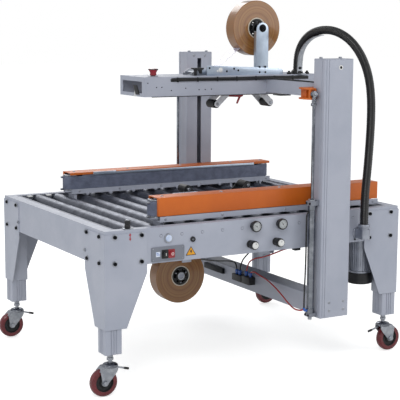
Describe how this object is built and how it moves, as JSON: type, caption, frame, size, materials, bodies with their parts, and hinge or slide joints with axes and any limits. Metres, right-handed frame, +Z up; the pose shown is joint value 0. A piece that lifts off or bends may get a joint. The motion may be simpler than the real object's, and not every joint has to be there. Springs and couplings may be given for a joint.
{
  "type": "carton sealer machine",
  "caption": "Roller-table carton sealer on casters, with two closing side belts and a taping head lifted between two columns.",
  "frame": {"origin": "on the floor, under the middle of the machine", "axes": "+X the way the carton travels, -Y the operator's side, +Z up"},
  "size_m": [1.386, 1.1449, 1.415],
  "materials": {
    "frame_paint": "powder coat, light grey",
    "orange_paint": "powder coat, orange",
    "side_belt": "ribbed blue-grey belt",
    "roller_steel": "turned steel tube",
    "zinc": "zinc plated",
    "black_screw": "black oxide",
    "chrome": "polished",
    "caster_red": "cast polyurethane, maroon",
    "motor_alloy": "die cast, finned",
    "black_plastic": "moulded",
    "red_plastic": "moulded",
    "press_arm": "white arms with black rubber rollers",
    "mast_steel": "zinc plated sheet",
    "tape": "wound polypropylene tape",
    "hose": "corrugated nylon",
    "fittings": "moulded housings"
  },
  "bodies": {
    "frame": {"table_panels": "frame_paint", "leg_covers": "frame_paint", "leg_bolts": "black_screw", "bed_supports": "zinc", "columns": "frame_paint", "cross_channel": "frame_paint", "lift_cylinders": "chrome", "panel_fittings": "fittings", "lower_cassette": "mast_steel", "conduit_hose": "hose"},
    "legs": {"leg_posts": "zinc"},
    "head": {"head_beam": "frame_paint", "lift_crossbeams": "frame_paint", "lift_rods": "chrome", "lift_yokes": "orange_paint", "tape_mast": "mast_steel", "upper_cassette": "mast_steel"},
    "belt_unit_front": {"belt_frame_front": "frame_paint", "belt_cover_front": "orange_paint", "side_belt_front": "side_belt", "belt_motor_front": "motor_alloy"},
    "belt_unit_back": {"belt_frame_back": "frame_paint", "belt_cover_back": "orange_paint", "side_belt_back": "side_belt", "belt_motor_back": "motor_alloy"},
    "caster_front_infeed": {"caster_fork_front_infeed": "zinc"},
    "wheel_front_infeed": {"caster_wheel_front_infeed": "caster_red"},
    "caster_front_outfeed": {"caster_fork_front_outfeed": "zinc"},
    "wheel_front_outfeed": {"caster_wheel_front_outfeed": "caster_red"},
    "caster_back_infeed": {"caster_fork_back_infeed": "zinc"},
    "wheel_back_infeed": {"caster_wheel_back_infeed": "caster_red"},
    "caster_back_outfeed": {"caster_fork_back_outfeed": "zinc"},
    "wheel_back_outfeed": {"caster_wheel_back_outfeed": "caster_red"},
    "roller_01": {"roller_01": "roller_steel"},
    "roller_02": {"roller_02": "roller_steel"},
    "roller_03": {"roller_03": "roller_steel"},
    "roller_04": {"roller_04": "roller_steel"},
    "roller_05": {"roller_05": "roller_steel"},
    "roller_06": {"roller_06": "roller_steel"},
    "roller_07": {"roller_07": "roller_steel"},
    "roller_08": {"roller_08": "roller_steel"},
    "roller_09": {"roller_09": "roller_steel"},
    "roller_10": {"roller_10": "roller_steel"},
    "roller_11": {"roller_11": "roller_steel"},
    "roller_12": {"roller_12": "roller_steel"},
    "roller_13": {"roller_13": "roller_steel"},
    "roller_14": {"roller_14": "roller_steel"},
    "roller_15": {"roller_15": "roller_steel"},
    "upper_front_arm": {"upper_front_arm": "press_arm"},
    "upper_rear_arm": {"upper_rear_arm": "press_arm"},
    "upper_tape_roll": {"upper_tape_roll": "tape"},
    "lower_front_arm": {"lower_front_arm": "press_arm"},
    "lower_rear_arm": {"lower_rear_arm": "press_arm"},
    "lower_tape_roll": {"lower_tape_roll": "tape"},
    "guide_roller": {"guide_roller": "black_plastic"},
    "emergency_stop": {"emergency_stop": "red_plastic"},
    "start_button": {"start_button": "black_plastic"},
    "stop_button": {"stop_button": "red_plastic"},
    "lift_pressure_knob": {"lift_pressure_knob": "black_plastic"},
    "belt_pressure_knob": {"belt_pressure_knob": "black_plastic"}
  },
  "joints": [
    {"name": "leg_height", "type": "slide", "parent": "frame", "child": "legs", "axis": [0, 0, 1], "range_m": [-0.12, 0.015]},
    {"name": "caster_swivel_front_infeed", "type": "hinge", "parent": "legs", "child": "caster_front_infeed", "pos_m": [-0.614, -0.463, 0.115], "axis": [0, 0, 1], "continuous": true},
    {"name": "wheel_spin_front_infeed", "type": "hinge", "parent": "caster_front_infeed", "child": "wheel_front_infeed", "pos_m": [-0.641, -0.463, 0.052], "axis": [0, 1, 0], "continuous": true},
    {"name": "caster_swivel_front_outfeed", "type": "hinge", "parent": "legs", "child": "caster_front_outfeed", "pos_m": [0.614, -0.463, 0.115], "axis": [0, 0, 1], "continuous": true},
    {"name": "wheel_spin_front_outfeed", "type": "hinge", "parent": "caster_front_outfeed", "child": "wheel_front_outfeed", "pos_m": [0.641, -0.463, 0.052], "axis": [0, 1, 0], "continuous": true},
    {"name": "caster_swivel_back_infeed", "type": "hinge", "parent": "legs", "child": "caster_back_infeed", "pos_m": [-0.614, 0.463, 0.115], "axis": [0, 0, 1], "continuous": true},
    {"name": "wheel_spin_back_infeed", "type": "hinge", "parent": "caster_back_infeed", "child": "wheel_back_infeed", "pos_m": [-0.641, 0.463, 0.052], "axis": [0, 1, 0], "continuous": true},
    {"name": "caster_swivel_back_outfeed", "type": "hinge", "parent": "legs", "child": "caster_back_outfeed", "pos_m": [0.614, 0.463, 0.115], "axis": [0, 0, 1], "continuous": true},
    {"name": "wheel_spin_back_outfeed", "type": "hinge", "parent": "caster_back_outfeed", "child": "wheel_back_outfeed", "pos_m": [0.641, 0.463, 0.052], "axis": [0, 1, 0], "continuous": true},
    {"name": "roller_01_spin", "type": "hinge", "parent": "frame", "child": "roller_01", "pos_m": [-0.595, 0, 0.57], "axis": [0, 1, 0], "continuous": true},
    {"name": "roller_02_spin", "type": "hinge", "parent": "frame", "child": "roller_02", "pos_m": [-0.51, 0, 0.57], "axis": [0, 1, 0], "continuous": true},
    {"name": "roller_03_spin", "type": "hinge", "parent": "frame", "child": "roller_03", "pos_m": [-0.425, 0, 0.57], "axis": [0, 1, 0], "continuous": true},
    {"name": "roller_04_spin", "type": "hinge", "parent": "frame", "child": "roller_04", "pos_m": [-0.34, 0, 0.57], "axis": [0, 1, 0], "continuous": true},
    {"name": "roller_05_spin", "type": "hinge", "parent": "frame", "child": "roller_05", "pos_m": [-0.255, 0, 0.57], "axis": [0, 1, 0], "continuous": true},
    {"name": "roller_06_spin", "type": "hinge", "parent": "frame", "child": "roller_06", "pos_m": [-0.17, 0, 0.57], "axis": [0, 1, 0], "continuous": true},
    {"name": "roller_07_spin", "type": "hinge", "parent": "frame", "child": "roller_07", "pos_m": [-0.085, 0, 0.57], "axis": [0, 1, 0], "continuous": true},
    {"name": "roller_08_spin", "type": "hinge", "parent": "frame", "child": "roller_08", "pos_m": [0, 0, 0.57], "axis": [0, 1, 0], "continuous": true},
    {"name": "roller_09_spin", "type": "hinge", "parent": "frame", "child": "roller_09", "pos_m": [0.085, 0, 0.57], "axis": [0, 1, 0], "continuous": true},
    {"name": "roller_10_spin", "type": "hinge", "parent": "frame", "child": "roller_10", "pos_m": [0.17, 0, 0.57], "axis": [0, 1, 0], "continuous": true},
    {"name": "roller_11_spin", "type": "hinge", "parent": "frame", "child": "roller_11", "pos_m": [0.255, 0, 0.57], "axis": [0, 1, 0], "continuous": true},
    {"name": "roller_12_spin", "type": "hinge", "parent": "frame", "child": "roller_12", "pos_m": [0.34, 0, 0.57], "axis": [0, 1, 0], "continuous": true},
    {"name": "roller_13_spin", "type": "hinge", "parent": "frame", "child": "roller_13", "pos_m": [0.425, 0, 0.57], "axis": [0, 1, 0], "continuous": true},
    {"name": "roller_14_spin", "type": "hinge", "parent": "frame", "child": "roller_14", "pos_m": [0.51, 0, 0.57], "axis": [0, 1, 0], "continuous": true},
    {"name": "roller_15_spin", "type": "hinge", "parent": "frame", "child": "roller_15", "pos_m": [0.595, 0, 0.57], "axis": [0, 1, 0], "continuous": true},
    {"name": "head_lift", "type": "slide", "parent": "frame", "child": "head", "axis": [0, 0, 1], "range_m": [-0.3, 0.03], "deforming": ["conduit_hose"]},
    {"name": "belt_front_close", "type": "slide", "parent": "frame", "child": "belt_unit_front", "axis": [0, 1, 0], "range_m": [0, 0.285]},
    {"name": "belt_back_close", "type": "slide", "parent": "frame", "child": "belt_unit_back", "axis": [0, -1, 0], "range_m": [0, 0.285]},
    {"name": "upper_front_arm_swing", "type": "hinge", "parent": "head", "child": "upper_front_arm", "pos_m": [0.17, 0, 1.085], "axis": [0, 1, 0], "range_deg": [0, 23], "stiffness_Nm_per_rad": 4, "springref_deg": -20.05},
    {"name": "upper_rear_arm_swing", "type": "hinge", "parent": "head", "child": "upper_rear_arm", "pos_m": [0.24, 0, 1.085], "axis": [0, 1, 0], "range_deg": [-23, 0], "stiffness_Nm_per_rad": 4, "springref_deg": 20.05},
    {"name": "lower_front_arm_swing", "type": "hinge", "parent": "frame", "child": "lower_front_arm", "pos_m": [0.04, 0, 0.56], "axis": [0, 1, 0], "range_deg": [-26, 0], "stiffness_Nm_per_rad": 6, "springref_deg": 25.78},
    {"name": "lower_rear_arm_swing", "type": "hinge", "parent": "frame", "child": "lower_rear_arm", "pos_m": [0.13, 0, 0.56], "axis": [0, 1, 0], "range_deg": [0, 26], "stiffness_Nm_per_rad": 6, "springref_deg": -25.78},
    {"name": "upper_tape_roll_spin", "type": "hinge", "parent": "head", "child": "upper_tape_roll", "pos_m": [0.262, 0, 1.303], "axis": [0, 1, 0], "continuous": true},
    {"name": "lower_tape_roll_spin", "type": "hinge", "parent": "frame", "child": "lower_tape_roll", "pos_m": [-0.091, 0, 0.3], "axis": [0, 1, 0], "continuous": true},
    {"name": "guide_roller_spin", "type": "hinge", "parent": "frame", "child": "guide_roller", "pos_m": [-0.55, -0.478, 0.615], "axis": [0, 0, 1], "continuous": true},
    {"name": "emergency_stop_push", "type": "slide", "parent": "head", "child": "emergency_stop", "axis": [0, 0, -1], "range_m": [0, 0.004], "stiffness_N_per_m": 900},
    {"name": "start_button_push", "type": "slide", "parent": "frame", "child": "start_button", "axis": [0, 1, 0], "range_m": [0, 0.004], "stiffness_N_per_m": 500},
    {"name": "stop_button_push", "type": "slide", "parent": "frame", "child": "stop_button", "axis": [0, 1, 0], "range_m": [0, 0.004], "stiffness_N_per_m": 500},
    {"name": "lift_pressure_knob_turn", "type": "hinge", "parent": "frame", "child": "lift_pressure_knob", "pos_m": [-0.05, -0.525, 0.507], "axis": [0, 1, 0], "range_deg": [-150, 150]},
    {"name": "belt_pressure_knob_turn", "type": "hinge", "parent": "frame", "child": "belt_pressure_knob", "pos_m": [0.064, -0.525, 0.507], "axis": [0, 1, 0], "range_deg": [-150, 150]}
  ],
  "couplings": [
    {"joint": "belt_back_close", "follows": "belt_front_close", "ratio": 1},
    {"joint": "upper_rear_arm_swing", "follows": "upper_front_arm_swing", "ratio": -1},
    {"joint": "lower_rear_arm_swing", "follows": "lower_front_arm_swing", "ratio": -1}
  ]
}
